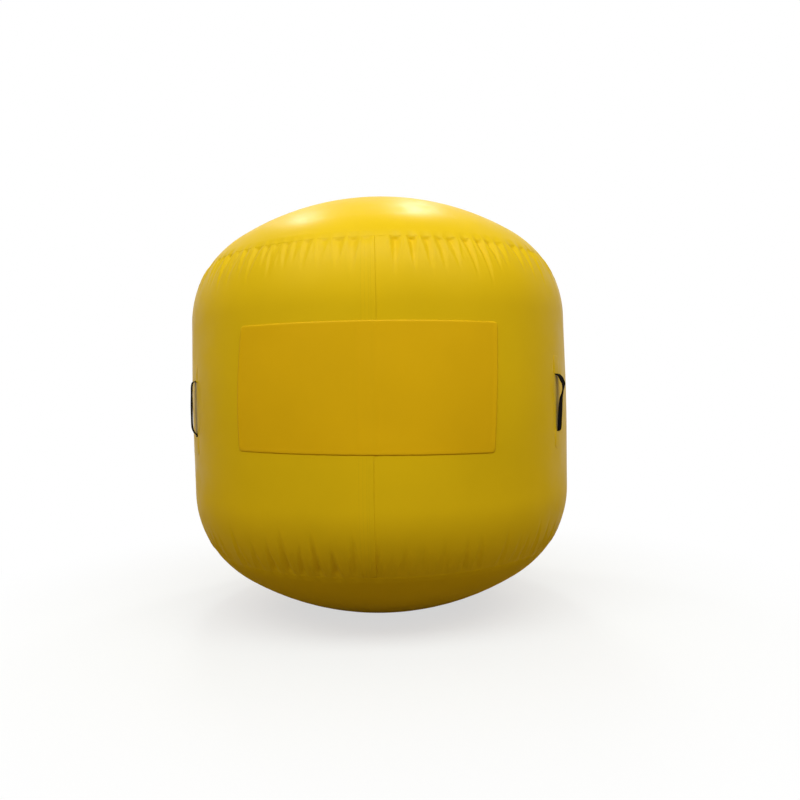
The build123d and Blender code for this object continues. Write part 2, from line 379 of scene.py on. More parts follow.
def webbing_finish():
    finish, tree, shader = new_finish("black_webbing", (0.008, 0.0065, 0.0045), 0.85, ior=1.06)
    across, along = cut_map(tree)
    row = maths(tree, "FLOOR", maths(tree, "DIVIDE", across, cord_width))
    shifted = maths(tree, "ADD", along, maths(tree, "MULTIPLY", row, pick_pitch / 4))
    cords = maths(tree, "ABSOLUTE", ribs(tree, across, 2 * cord_width))
    picks = maths(tree, "MULTIPLY", maths(tree, "ABSOLUTE", ribs(tree, shifted, pick_pitch)), cords)
    tinted(tree, shader, picks, (0.004, 0.0032, 0.0022), (0.013, 0.010, 0.007))
    raised(tree, shader, picks, 0.0003, 0.8)
    return finish


def thread_finish():
    finish, tree, shader = new_finish("black_thread", (0.016, 0.015, 0.013), 0.7, ior=1.25)
    fuzz = between(tree, mottle(tree, 1500, 2), 0, 1)
    tinted(tree, shader, fuzz, (0.010, 0.009, 0.008), (0.030, 0.028, 0.024))
    return finish


strap_finish = webbing_finish()
stitch_finish = thread_finish()
print("webbing:", strap_finish.name, "and", stitch_finish.name)

# %% [markdown]
# The fittings are few: a stainless mooring ring, a black moulded valve, a softer keeper and a grey cap.
# Drawn steel has faint marks along the wire and a clear shine; moulded plastic has a fine even grain and
# goes a little shiny where fingers turn it.

# %% Steel and moulded plastics
def drawn_steel():
    finish, tree, shader = new_finish("drawn_steel", (0.58, 0.58, 0.57), 0.24, metallic=1.0)
    marks = mottle(tree, 90, 4, stretch=(1, 1, 6))
    tree.links.new(between(tree, marks, 0.16, 0.36), shader.inputs["Roughness"])
    tinted(tree, shader, between(tree, mottle(tree, 25), 0, 1), (0.50, 0.50, 0.50), (0.66, 0.66, 0.65))
    raised(tree, shader, marks, 0.0001, 0.2)
    return finish


def moulded(name, colour, roughness):
    finish, tree, shader = new_finish(name, colour, roughness, ior=1.4)
    clouds = between(tree, mottle(tree, 40), 0, 1)
    tinted(tree, shader, clouds, [0.85 * c for c in colour], [1.12 * c for c in colour])
    handled = between(tree, mottle(tree, 70), roughness - 0.08, roughness + 0.08)
    tree.links.new(handled, shader.inputs["Roughness"])
    raised(tree, shader, mottle(tree, 1800, 2), 0.00015, 0.3)
    return finish


node_finishes = {
    "mooring_ring": drawn_steel(),
    "valve_base": moulded("valve_body_plastic", (0.016, 0.016, 0.017), 0.45),
    "valve_keeper": moulded("keeper_plastic", (0.020, 0.020, 0.021), 0.52),
    "valve_cap": moulded("cap_plastic", (0.13, 0.13, 0.135), 0.42),
    "valve_flap": moulded("flap_rubber", (0.03, 0.03, 0.032), 0.6),
}
eased_edges = {"valve_base": 0.0004, "valve_keeper": 0.0004, "valve_cap": 0.0005}
for node, finish in node_finishes.items():
    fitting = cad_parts[node]
    fitting.data.materials.clear()
    fitting.data.materials.append(finish)
    if node in eased_edges:
        ease = fitting.modifiers.new("eased_edges", "BEVEL")
        ease.width = eased_edges[node]
        ease.segments = 2
        ease.limit_method = "ANGLE"
        ease.angle_limit = math.radians(40)
        ease.harden_normals = True
print("fittings finished:", ", ".join(node_finishes))

# %% [markdown]
# ## Making a sheet
# Every soft piece here is a grid of points: rows down the sheet and columns across it. One helper turns
# such a grid into a mesh with its cut map and its finish, hangs it on the body that carries it and hides
# the CAD solid it stands for. Another gives a sheet the fabric's thickness on its inner side.

# %% Helpers for sheets
def grid_faces(rows, columns, closed=False):
    """Quads of a grid, facing outwards when rows run down and columns run round to the left hand."""
    faces = []
    for row in range(rows - 1):
        for column in range(columns if closed else columns - 1):
            beside = (column + 1) % columns
            here, below = row * columns, (row + 1) * columns
            faces.append((here + column, below + column, below + beside, here + beside))
    return faces


def pole_faces(rows, columns):
    """Triangles from the last row of a closed grid to one more point in its middle."""
    last, pole = (rows - 1) * columns, rows * columns
    return [(last + column, pole, last + (column + 1) % columns) for column in range(columns)]


def make_piece(name, points, faces, cut, finish, body, stands_for=()):
    """A smooth piece from points, faces and the place of each point on its flat cut."""
    mesh = bpy.data.meshes.new(name)
    mesh.from_pydata(np.asarray(points, float).reshape(-1, 3).tolist(), [], faces)
    mesh.update()
    corners = np.zeros(len(mesh.loops), np.int32)
    mesh.loops.foreach_get("vertex_index", corners)
    layer = mesh.uv_layers.new(name="cut")
    layer.uv.foreach_set("vector", np.asarray(cut, np.float32).reshape(-1, 2)[corners].ravel())
    mesh.shade_smooth()
    mesh.materials.append(finish)
    piece = bpy.data.objects.new(name, mesh)
    bpy.context.scene.collection.objects.link(piece)
    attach(piece, body)
    if stands_for:
        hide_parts(*stands_for)
    return piece


def thicken(piece, thickness=fabric):
    """Gives a sheet its thickness, on its inner side."""
    solid = piece.modifiers.new("thickness", "SOLIDIFY")
    solid.thickness = thickness
    solid.offset = -1
    return piece


def smooth_step(value):
    """0 up to 0, 1 from 1 on, and a soft ramp between."""
    value = np.clip(value, 0, 1)
    return value * value * (3 - 2 * value)


print("helpers for sheets ready, fabric", fabric, "m thick")

# %% [markdown]
# ## The tucks
# The wall is cut as a straight band, but each end has to shrink to the smaller circle of its disc. The
# spare cloth goes into tucks: narrow cone-shaped valleys, deepest just under the disc's welded margin, that
# run out to a point on the shoulder. A tuck with the half width `tuck_half` and the depth `tuck_depth` takes
# up about its share of the spare length. The tucks at the front stand where the real buoy has them; the
# others are spaced by eye, which a seeded random shift imitates.

# %% Where the tucks are
columns_per_panel = 300
panel_count = 3
lap_columns = 10
column_count = panel_count * columns_per_panel
seam_turn = math.radians(1.1)
seam_lean = math.radians(-1.6)
column_step = 2 * math.pi / column_count
azimuths = front + seam_turn + column_step * np.arange(column_count)

tuck_half = 0.0165
tuck_depth = 0.0090
tuck_lip = 0.22
tuck_length = 0.135
tuck_spacing = 4.5
tuck_press = {"top": 0.30, "bottom": 0.22}
tuck_open = {"top": 0.009, "bottom": 0.024}
front_tucks = {
    # degrees to the right of the front, share of the full depth
    "top": (
        (-41.4, 0.55), (-37.6, 0.60), (-32.6, 0.65), (-28.8, 0.55), (-25.6, 0.60), (-22.2, 0.55),
        (-19.0, 0.45), (-15.7, 0.55), (-11.1, 0.60), (-6.9, 0.75), (-2.7, 0.80), (0.9, 0.55),
        (8.7, 1.15), (13.2, 1.20), (17.3, 0.95), (21.0, 0.85), (24.2, 1.10), (29.2, 1.05),
        (33.5, 1.10), (37.5, 1.00), (41.1, 0.80), (47.7, 0.95), (52.3, 0.85), (57.5, 0.75),
    ),
    "bottom": (
        (-48.8, 0.80), (-40.9, 0.95), (-34.6, 0.95), (-28.7, 1.20), (-23.8, 1.25), (-19.3, 0.95),
        (-14.2, 1.20), (-9.3, 1.20), (-4.3, 0.90), (1.6, 0.90), (5.0, 0.40), (8.4, 0.50),
        (13.6, 0.40), (19.0, 0.45), (25.3, 0.60), (30.1, 0.60), (38.0, 0.60), (43.9, 0.55),
    ),
}
hidden_strength = (0.55, 1.10)
draw = np.random.default_rng(11)


def tucks_of(end):
    """Azimuth, half width, depth, length and lean of each tuck of one end."""
    measured, share = np.array(front_tucks[end]).T
    spare = measured[0] + 360 - measured[-1]
    count = round(spare / tuck_spacing)
    others = measured[-1] + spare * np.arange(1, count) / count + draw.uniform(-1.2, 1.2, count - 1)
    turn = np.concatenate([measured, others])
    strength = np.concatenate([share, draw.uniform(*hidden_strength, count - 1)])
    number = len(turn)
    return np.stack([
        front + np.radians(turn),
        tuck_half * draw.uniform(0.8, 1.2, number),
        tuck_depth * strength,
        tuck_length * draw.uniform(0.7, 1.15, number) * (0.6 + 0.4 * np.clip(strength, 0, 1)),
        draw.uniform(-0.010, 0.010, number),
    ], -1)


tucks = {end: tucks_of(end) for end in front_tucks}
print({end: len(rows) for end, rows in tucks.items()}, "tucks")

# %% How deep the fabric is pressed in
tuck_point = 0.0016
margin_fade = 0.016
lip_place, lip_spread = 1.12, 0.20


def tuck_field(end, from_edge, azimuth, blunt):
    """Inward press of the tucks, by distance from the sheet's end edge and by azimuth."""
    seam_radius = shoulder_centre + shoulder_radius * math.cos(seam_angle)
    from_edge = np.asarray(from_edge, float)[:, None]
    past = from_edge - seam_overlap
    held = tuck_press[end]
    field = np.zeros((len(from_edge), len(azimuth)))
    lips = np.zeros_like(field)
    for turn, half, depth, length, lean in tucks[end]:
        beside = (azimuth - turn + math.pi) % (2 * math.pi) - math.pi
        near = np.flatnonzero(abs(beside) * seam_radius < 4 * tuck_half)
        left = np.clip(1 - past / length, 0, 1)
        opened = held + (1 - held) * smooth_step(past / tuck_open[end])
        taper = np.where(past < 0, held * np.exp(-((past / margin_fade) ** 2)), opened * left)
        width = half * left + tuck_point
        offset = abs(beside[near][None, :] * seam_radius - lean * (1 - left)) / width
        if blunt:
            shape = (1 - np.clip(offset, 0, 1) ** 2) ** 2
        else:
            shape = 1 - np.clip(offset, 0, 1) ** 1.5
            lip = depth * taper * np.exp(-(((offset - lip_place) / lip_spread) ** 2))
            lips[:, near] = np.maximum(lips[:, near], lip)
        field[:, near] = np.maximum(field[:, near], depth * taper * shape)
    return field - tuck_lip * lips


print(f"a full tuck is {1000 * tuck_depth:.0f} mm deep and {2000 * tuck_half:.0f} mm wide")

# %% [markdown]
# ## The wall
# The wall starts as the smooth outline with the tucks pressed into it. Drawn tucks alone look carved, so
# the band is then settled as cloth: its two welded ends and its tight middle are held, air pushes from the
# inside, and the shoulders find their own soft lobes between the creases.

# %% Rows of the wall
end_rows = np.concatenate([
    np.linspace(0, seam_overlap - 0.001, 5),
    seam_overlap + np.array([0.001, 0.003, 0.0055, 0.0085, 0.012]),
    np.arange(seam_overlap + 0.0165, seam_overlap + 0.075, 0.0053),
    np.arange(seam_overlap + 0.080, shoulder_length + 0.012, 0.0078),
])
middle_rows = np.linspace(end_rows[-1] + 0.02, wall_length - end_rows[-1] - 0.02, 13)
down = np.concatenate([end_rows, middle_rows, wall_length - end_rows[::-1]])
wall_radius, wall_height, wall_tilt = wall_outline(down)
leaning = seam_lean * smooth_step((down - shoulder_length) / straight_height)
wall_azimuths = azimuths[None, :] + leaning[:, None]
pressed = tuck_field("top", down, azimuths, blunt=False)
pressed += tuck_field("bottom", wall_length - down, azimuths + seam_lean, blunt=False)
weld_press = 0.0006
from_end = np.minimum(down, wall_length - down)
pressed += weld_press * (1 - smooth_step((from_end - seam_overlap + 0.007) / 0.007))[:, None]
wall = turned(
    wall_radius[:, None] - pressed * np.cos(wall_tilt)[:, None],
    wall_height[:, None] - pressed * np.sin(wall_tilt)[:, None],
    wall_azimuths,
)
print("wall grid", wall.shape, f"deepest tuck {1000 * pressed.max():.1f} mm")

# %% Settle the wall as cloth under air
settle_steps = 12
soft_hold = 0.3


def settle(grid, hold):
    """The grid after it has settled as cloth under air pressure, with its rows held by a share each."""
    rows, columns, _ = grid.shape
    mesh = bpy.data.meshes.new("settling_wall")
    mesh.from_pydata(grid.reshape(-1, 3).tolist(), [], grid_faces(rows, columns, closed=True))
    band = bpy.data.objects.new("settling_wall", mesh)
    bpy.context.scene.collection.objects.link(band)
    group = band.vertex_groups.new(name="held")
    for row in range(rows):
        group.add(list(range(row * columns, (row + 1) * columns)), float(hold[row]), "REPLACE")
    air = band.modifiers.new("air", "CLOTH")
    cloth = air.settings
    cloth.quality = 5
    cloth.mass = 0.02
    cloth.tension_stiffness = cloth.compression_stiffness = 30
    cloth.shear_stiffness = 3
    cloth.bending_stiffness = 0.01
    cloth.tension_damping = cloth.compression_damping = cloth.shear_damping = 2
    cloth.bending_damping = 0.05
    cloth.vertex_group_mass = "held"
    cloth.use_pressure = True
    cloth.uniform_pressure_force = 22
    cloth.effector_weights.gravity = 0
    air.collision_settings.use_collision = False
    for step in range(1, settle_steps + 1):
        bpy.context.scene.frame_set(step)
    seen = band.evaluated_get(bpy.context.evaluated_depsgraph_get()).to_mesh()
    settled = np.zeros(len(seen.vertices) * 3, np.float32)
    seen.vertices.foreach_get("co", settled)
    bpy.data.objects.remove(band)
    bpy.data.meshes.remove(mesh)
    bpy.context.scene.frame_set(1)
    return settled.reshape(grid.shape).astype(float)


drawn = wall.copy()
for rows in (slice(0, len(end_rows)), slice(len(down) - len(end_rows), len(down))):
    reach = from_end[rows]
    hold = soft_hold * (reach / reach.max()) ** 2
    hold[(reach <= seam_overlap + 0.002) | (reach > shoulder_length)] = 1
    wall[rows] = settle(wall[rows], hold)
print(f"cloth settled by up to {1000 * abs(wall - drawn).max():.1f} mm")

# %% [markdown]
# The band is three sheets, each welded over the edge of the next with a lap as wide as two fingers. The
# lap's free edge is the fine vertical line on the front. Each sheet therefore gets its own mesh, and its
# last columns rise by one thickness of fabric over its neighbour. Under the discs' margins the lap is
# pressed flat.

# %% Three wall sheets
lap_lift = fabric - 0.0002
under_margin = smooth_step((from_end - seam_overlap) / 0.008)
normal = turned(np.cos(wall_tilt)[:, None], np.sin(wall_tilt)[:, None], wall_azimuths)
half_lap = lap_columns // 2
panel_steps = np.arange(-half_lap, columns_per_panel + half_lap + 1)
on_top = smooth_step((panel_steps - (columns_per_panel - half_lap) + 1) / 2)
on_top[-1] = 0.4
for index in range(panel_count):
    taken = (panel_steps + index * columns_per_panel) % column_count
    sheet = wall[:, taken] + normal[:, taken] * (lap_lift * under_margin[:, None] * on_top)[..., None]
    across = (panel_steps - panel_steps[-1]) * column_step * barrel_radius
    cut = np.stack(np.broadcast_arrays(across[None, :], -down[:, None]), -1)
    piece = make_piece(
        f"wall_sheet_{index + 1}", sheet, grid_faces(*sheet.shape[:2]), cut, wall_finish,
        "hull", [f"wall_panel_{index + 1}"],
    )
    thicken(piece)

# %% [markdown]
# ## The end discs
# Each end is one round sheet, blown into a dome. Its margin lies outside the wall's end and is welded to
# it, so the tucks dent it a little: small dimples that catch the light just above the seam. The bottom
# disc also has the foot that the buoy stands on and the hollow that hides the mooring ring.

# %% Outlines of the discs
overlap_angle = seam_overlap / shoulder_radius
valve_hole = 0.021
hollow_radius, hollow_bend, hollow_bend_angle = 0.076, 0.036, math.radians(41.4)
hollow_height = 2 * hollow_bend * (1 - math.cos(hollow_bend_angle))
margin_lift = fabric + 0.0001 - weld_press
rim_tilts = np.concatenate([
    np.linspace(crown_angle, seam_angle + 0.075, 8)[:-1],
    np.linspace(seam_angle + 0.075, seam_angle - overlap_angle + 0.014, 12)[:-1],
    np.linspace(seam_angle - overlap_angle + 0.014, seam_angle - overlap_angle, 4),
])


def disc_outline(pole_tilt, crown_rows):
    """Radius, height above the shoulder's turn and tilt of a dome, from near its pole out to its margin."""
    crown = np.linspace(pole_tilt, crown_angle, crown_rows)[:-1]
    rim_radius = shoulder_centre + shoulder_radius * np.cos(rim_tilts)
    radius = np.concatenate([crown_radius * np.cos(crown), rim_radius])
    rise = np.concatenate([crown_radius * np.sin(crown) - crown_drop, shoulder_radius * np.sin(rim_tilts)])
    return radius, rise, np.concatenate([crown, rim_tilts])


def disc_points(end, radius, rise, tilt):
    """Points of a dome with its margin lifted over the wall and dented by the tucks."""
    side = 1 if end == "top" else -1
    from_edge = (seam_angle - tilt) * shoulder_radius
    edge = seam_overlap - from_edge
    lift = margin_lift * smooth_step((from_edge + 0.014) / 0.014) * (0.4 + 0.6 * smooth_step(edge / 0.004))
    shift = lift[:, None] - tuck_field(end, np.minimum(from_edge, seam_overlap), azimuths, blunt=True)
    turn = upper_turn if end == "top" else lower_turn
    return turned(
        radius[:, None] + shift * np.cos(tilt)[:, None],
        turn + side * (rise[:, None] + shift * np.sin(tilt)[:, None]),
        azimuths[None, :],
    )


def round_cut(points, length):
    """Flat place of a disc's points: polar, by the length from the pole."""
    turn = np.arctan2(points[..., 1], points[..., 0])
    return turned(length[:, None], 0, turn)[..., :2]


def run_along(radius, height, start):
    """Length along an outline, from a given start."""
    steps = np.hypot(np.diff(radius), np.diff(height))
    return start + np.concatenate([[0], np.cumsum(steps)])


print(f"discs: margin {seam_overlap:.3f} m wide, hollow {hollow_height:.4f} m high")

# %% Top disc
hole_tilt = math.acos(valve_hole / crown_radius)
radius, rise, tilt = disc_outline(hole_tilt, 18)
points = disc_points("top", radius, rise, tilt)
length = run_along(radius, rise, valve_hole)
top_disc = make_piece(
    "top_dome", points, grid_faces(*points.shape[:2], closed=True), round_cut(points, length), dome_finish,
    "hull", ["top_disc"],
)
thicken(top_disc)

# %% Bottom disc with foot and hollow
foot_tilt = math.acos(foot_radius / crown_radius)
radius, rise, tilt = disc_outline(foot_tilt, 11)
points = disc_points("bottom", radius, rise, tilt)[::-1]
bends = np.linspace(0, hollow_bend_angle, 7)
foot_inside = hollow_radius + 2 * hollow_bend * math.sin(hollow_bend_angle)
foot_rows = [(r, 0.0) for r in np.linspace(foot_radius, foot_inside, 5)[1:]]
foot_rows += [(foot_inside - hollow_bend * math.sin(a), hollow_bend * (1 - math.cos(a))) for a in bends[1:]]
foot_rows += [
    (hollow_radius + hollow_bend * math.sin(a), hollow_height - hollow_bend * (1 - math.cos(a)))
    for a in bends[::-1][1:]
]
roof_rings = (0.060, 0.040, 0.020, 0.008)
foot_rows += [(r, hollow_height) for r in roof_rings]
inner = np.array(foot_rows)
points = np.concatenate([points, turned(inner[:, :1], inner[:, 1:], azimuths[None, :])])
outline = np.hypot(points[:, 0, 0], points[:, 0, 1]), points[:, 0, 2]
length = run_along(outline[0][::-1], outline[1][::-1], roof_rings[-1])[::-1]
faces = grid_faces(*points.shape[:2], closed=True) + pole_faces(*points.shape[:2])
all_points = np.concatenate([points.reshape(-1, 3), [[0, 0, hollow_height]]])
cut = np.concatenate([round_cut(points, length).reshape(-1, 2), [[0, 0]]])
bottom_disc = make_piece(
    "bottom_dome", all_points, faces, cut, under_finish, "hull", ["bottom_disc"]
)
thicken(bottom_disc)
print(f"bottom disc cut from a circle of {2 * length[0]:.3f} m")

# %% [markdown]
# ## The sign panel
# A second, slightly warmer sheet is welded on the front to carry a sign. It lies over the wall's lap, which
# shows through as a low ridge. Its upper and lower edges are pressed thin by the weld. At its sides the weld
# runs a little inside the edge, so a narrow free margin curls up and catches light. Laid by hand on a round
# wall, the panel is also a little out of square. It is left bare.

# %% Helper for a sheet welded on the wall
def rounded(across, along, width, height, corners):
    """Points of a rectangle whose square corners are pressed into quarter discs, each of its own radius."""
    for (side, end), radius in corners.items():
        dx = np.maximum(across * side - (width / 2 - radius), 0)
        dy = np.maximum(along * end - (height / 2 - radius), 0)
        in_x = dx * (1 - np.sqrt(1 - (dy / radius) ** 2 / 2))
        in_y = dy * (1 - np.sqrt(1 - (dx / radius) ** 2 / 2))
        across, along = across - side * in_x, along - end * in_y
    return across, along


def on_wall(azimuth, height, across, along, lift):
    """Points on the straight wall: across runs round it, along runs up, lift stands off it."""
    radius = barrel_radius + bulge(height + along)
    return turned(radius + lift, height + along, azimuth + across / radius)


def as_cut(across, along):
    """A sheet that lies as it was cut."""
    return across, along


def welded_sheet(name, azimuth, height, size, corners, steps, lift, finish, node, laid=as_cut):
    """A thin sheet welded on the wall. Functions of a point of the cut say how it lies and how it lifts."""
    width, tall = size
    columns, rows = steps
    across, along = np.meshgrid(
        np.linspace(-width / 2, width / 2, columns), np.linspace(tall / 2, -tall / 2, rows)
    )
    across, along = rounded(across, along, width, tall, corners)
    points = on_wall(azimuth, height, *laid(across, along), lift(across, along))
    cut = np.stack([across, along], -1)
    piece = make_piece(name, points, grid_faces(*across.shape), cut, finish, "hull", [node])
    return thicken(piece)


print(f"welded sheets lie on the wall, {barrel_radius:.3f} m from the axis")

# %% How the sign lies
sign_span = math.radians(69)
sign_size = (sign_span * (barrel_radius + fabric), 0.341)
sign_height = middle + 0.050
sign_corner = 0.009
sign_turn = math.radians(-0.55)
sign_askew = math.radians(1.6)
stray_left = (-0.0084, 0.0042, 0.0102)
stray_right = (0.0030, 0.0044, -0.0035)
stray_top = (-0.0012, 0.0062)
stray_bottom = (0.0006, 0.0019)


def stray(curve, place):
    """How far an edge strays from square: steady, growing along it, and bowed."""
    return sum(share * place**power for power, share in enumerate(curve))


def sign_laid(across, along):
    """Where a point of the sign lies: turned a little, its left side bowed and its corners out of square."""
    u, v = across / (sign_size[0] / 2), along / (sign_size[1] / 2)
    sideways = stray(stray_left, v) * (1 - u) + stray(stray_right, v) * (1 + u)
    upwards = stray(stray_bottom, u) * (1 - v) + stray(stray_top, u) * (1 + v)
    return across + along * sign_askew + sideways / 2, along - across * sign_askew + upwards / 2


print(f"sign panel {sign_size[0]:.3f} x {sign_size[1]:.3f} m, centre {sign_height:.3f} m up")

# %% Sign panel
weld_band = 0.015
sign_rest = 0.00015
end_press, end_press_width = 0.0004, 0.006
side_curl = 0.0011
groove_depth, groove_half = 0.0001, 0.0022
wave_height, wave_margin = 0.0004, 0.06
lap_rise, lap_fall = 0.007, 0.005
sign_steps = (241, 115)
quarters = [(side, end) for side in (1, -1) for end in (1, -1)]


def sign_lift(across, along):
    """Flat on the wall, curled up at its sides, pressed thin at its ends, and riding over the wall's lap."""
    from_side, from_top = sign_size[0] / 2 - abs(across), sign_size[1] / 2 - abs(along)
    inwards = np.minimum(from_side, from_top)
    thinned = -end_press * (1 - smooth_step(from_top / end_press_width))
    curl = side_curl * (1 - smooth_step(from_side / weld_band)) * smooth_step(from_top / weld_band)
    groove = -groove_depth * np.exp(-(((inwards - weld_band) / groove_half) ** 2))
    waves = wave_height * np.sin(across * 17 + 0.6) * np.sin(along * 26 + 1.0)
    waves = waves * smooth_step(inwards / wave_margin)
    from_lap = sign_laid(across, along)[0] - barrel_radius * (seam_turn + seam_lean / 2 - sign_turn)
    lap_half = half_lap * column_step * barrel_radius
    risen = smooth_step((from_lap + lap_half + lap_rise) / lap_rise)
    fallen = smooth_step((from_lap - lap_half) / lap_fall)
    return fabric + sign_rest + thinned + curl + groove + waves + lap_lift * (risen * (1 - fallen))


sign = welded_sheet(
    "sign_sheet", front + sign_turn, sign_height, sign_size, {quarter: sign_corner for quarter in quarters},
    sign_steps, sign_lift, sign_finish, "sign_panel", sign_laid,
)
print("sign panel welded on,", sign_steps[0] * sign_steps[1], "points")

# %% [markdown]
# ## The handles
# Three grab handles of black webbing stand round the waist. Each is a strip with both tails under small
# welded patches, and no two hang alike: one is straight with a sharp upper corner, one bulges near its top
# and twists. The strip follows a smooth line through a few points that give its distance from the wall.

# %% Helper for webbing
strap_width = 0.025
strap_thickness = 0.002
section = [(a, 1.0) for a in np.linspace(-0.93, 0.93, 9)] + [(1.0, 0.5), (1.0, -0.5)]
section += [(-a, -b) for a, b in section]
section = np.array(section)


def smooth_line(points, step):
    """A soft line through the points, as a flexible strip takes, in even steps."""
    points = np.asarray(points, float)
    padded = np.concatenate([[2 * points[0] - points[1]], points, [2 * points[-1] - points[-2]]])
    share = np.linspace(0, 1, 24, endpoint=False)[:, None]
    parts = []
    for before, start, end, after in zip(padded, padded[1:], padded[2:], padded[3:]):
        parts.append(
            0.5 * (2 * start + (end - before) * share + (2 * before - 5 * start + 4 * end - after) * share**2
                   + (3 * start - before - 3 * end + after) * share**3)
        )
    dense = np.concatenate(parts + [points[-1:]])
    gone = np.concatenate([[0], np.cumsum(np.linalg.norm(np.diff(dense[:, :2], axis=0), axis=1))])
    even = np.linspace(0, gone[-1], max(2, int(gone[-1] / step)))
    return np.stack([np.interp(even, gone, dense[:, k]) for k in range(dense.shape[1])], -1), even


def heading_of(centre):
    """Unit direction along a centre line."""
    heading = np.gradient(centre, axis=0)
    return heading / np.linalg.norm(heading, axis=1)[:, None]


def webbing(name, centre, across, facing_out, along, width, thickness, node, pressed=1.0):
    """A strip of webbing swept along its centre line, thinner where it is pressed."""
    span = section[:, 0][None, :, None] * width / 2 * across[:, None, :]
    build = section[:, 1][None, :, None] * thickness / 2 * facing_out[:, None, :]
    points = centre[:, None, :] + span + build * np.asarray(pressed, float).reshape(-1, 1, 1)
    rows, columns = points.shape[:2]
    faces = grid_faces(rows, columns, closed=True)
    faces += [tuple(range(columns)), tuple(range(rows * columns - 1, (rows - 1) * columns - 1, -1))]
    cut = np.stack(np.broadcast_arrays(section[None, :, 0] * width / 2, along[:, None]), -1)
    return make_piece(name, points, faces, cut, strap_finish, "hull", [node])


print("webbing section with", len(section), "corners")

# %% Three handles
handle_height = middle - 0.002
handle_turn = math.radians(62)
tail = 0.0003
tail_end = 0.118
tail_press = 0.25
tail_start, tail_ramp = 0.088, 0.008
handle_lines = (
    # azimuth, then points between the tails' ends: distance from the wall, height from the middle, twist
    (front + handle_turn, (
        (tail, 0.092, 0), (tail, 0.0805, 0), (0.0062, 0.0785, 3), (0.0118, 0.0715, 8), (0.0162, 0.0625, 9),
        (0.0200, 0.0520, 5), (0.0196, 0.0430, -4), (0.0182, 0.0340, -9), (0.0160, 0.0240, -7),
        (0.0130, 0.0140, -1), (0.0106, -0.004, 5), (0.0088, -0.026, 8), (0.0072, -0.050, 8),
        (0.0062, -0.070, 7), (0.0048, -0.081, 4), (tail, -0.0865, 0), (tail, -0.094, 0),
    )),
    (front + math.pi, (
        (tail, 0.092, 0), (tail, 0.083, 0), (0.0100, 0.077, 0), (0.0165, 0.066, 2),
        (0.0190, 0.040, 4), (0.0200, 0.0, 3), (0.0185, -0.040, -2), (0.0160, -0.062, -2), (0.0100, -0.075, 0),
        (tail, -0.083, 0), (tail, -0.092, 0),
    )),
    (front - handle_turn, (
        (tail, 0.095, 0), (tail, 0.0865, 0), (0.0070, 0.0835, 0), (0.0105, 0.0775, 0),
        (0.0120, 0.066, 0), (0.0125, 0.044, 1), (0.0128, 0.016, -2), (0.0133, -0.022, 0), (0.0132, -0.044, 0),
        (0.0117, -0.057, 0), (0.0070, -0.068, 0), (tail, -0.0765, 0), (tail, -0.088, 0),
    )),
)
for number, (azimuth, line) in enumerate(handle_lines, start=1):
    whole_line = [(tail, tail_end, 0), *line, (tail, -tail_end, 0)]
    soft_line, along = smooth_line(whole_line, 0.0022)
    off_wall, up, twist = soft_line[:, 0], soft_line[:, 1], np.radians(soft_line[:, 2])
    out = np.array([math.cos(azimuth), math.sin(azimuth), 0])
    side = np.array([-math.sin(azimuth), math.cos(azimuth), 0])
    reach = barrel_radius + bulge(handle_height + up) + off_wall
    centre = reach[:, None] * out + (handle_height + up)[:, None] * np.array([0, 0, 1])
    heading = heading_of(centre)
    outward = np.cross(heading, side)
    across = np.cos(twist)[:, None] * side + np.sin(twist)[:, None] * outward
    facing_out = np.cross(heading, across)
    thinned = tail_press + (1 - tail_press) * smooth_step((tail_start - abs(up)) / tail_ramp)
    strap = webbing(
        f"handle_webbing_{number}", centre, across, facing_out, along, strap_width, strap_thickness,
        f"handle_strap_{number}", thinned,
    )
    print(strap.name, f"{along[-1]:.3f} m long")

# %% [markdown]
# Each tail is covered by a small patch of the wall's own fabric, welded down all round except where the
# webbing comes out. The patch is stretched over the tail, so it has a flat rim and a soft box in the middle.

# %% Handle patches
patch_size = (0.046, 0.053)
patch_near = 0.081
far_corner, near_corner = 0.016, 0.004
patch_rest = 0.0001
patch_steps = (41, 41)
rim_press, rim_width = 0.0003, 0.005
box_height = tail + tail_press * strap_thickness / 2 + 0.0001
box_length, box_end = 0.030, 0.014
box_inset, box_side = 0.001, 0.011


def patch_lift(end):
    """How a patch lifts: a flat rim, and a soft box over the tail that comes in at its near edge."""

    def lift(across, along):
        from_near = patch_size[1] / 2 + end * along
        over = 1 - smooth_step((abs(across) - strap_width / 2 + box_inset) / box_side)
        covered = 1 - smooth_step((from_near - box_length) / box_end)
        inwards = np.minimum(patch_size[0] / 2 - abs(across), patch_size[1] - from_near)
        rim = -rim_press * (1 - smooth_step(inwards / rim_width))
        return fabric + patch_rest + rim + box_height * over * covered

    return lift


for number, (azimuth, line) in enumerate(handle_lines, start=1):
    for end_name, end in (("upper", 1), ("lower", -1)):
        corners = {(side, row): far_corner if row == end else near_corner for side, row in quarters}
        patch_height = handle_height + end * (patch_near + patch_size[1] / 2)
        patch = welded_sheet(
            f"handle_cover_{number}_{end_name}", azimuth, patch_height, patch_size, corners, patch_steps,
            patch_lift(end), dome_finish, f"handle_patch_{number}_{end_name}",
        )
print("handle patches welded over", 2 * len(handle_lines), "tails")

# %% [markdown]
# ## The mooring point
# Under the buoy a steel ring hangs in a loop of webbing, sewn to a round patch on the roof of the hollow.
# The loop is one strip: it runs along the patch, round the ring's bar and back under itself, and a box of
# stitches holds both layers. The ring itself is a rigid CAD piece and only gets its finish.

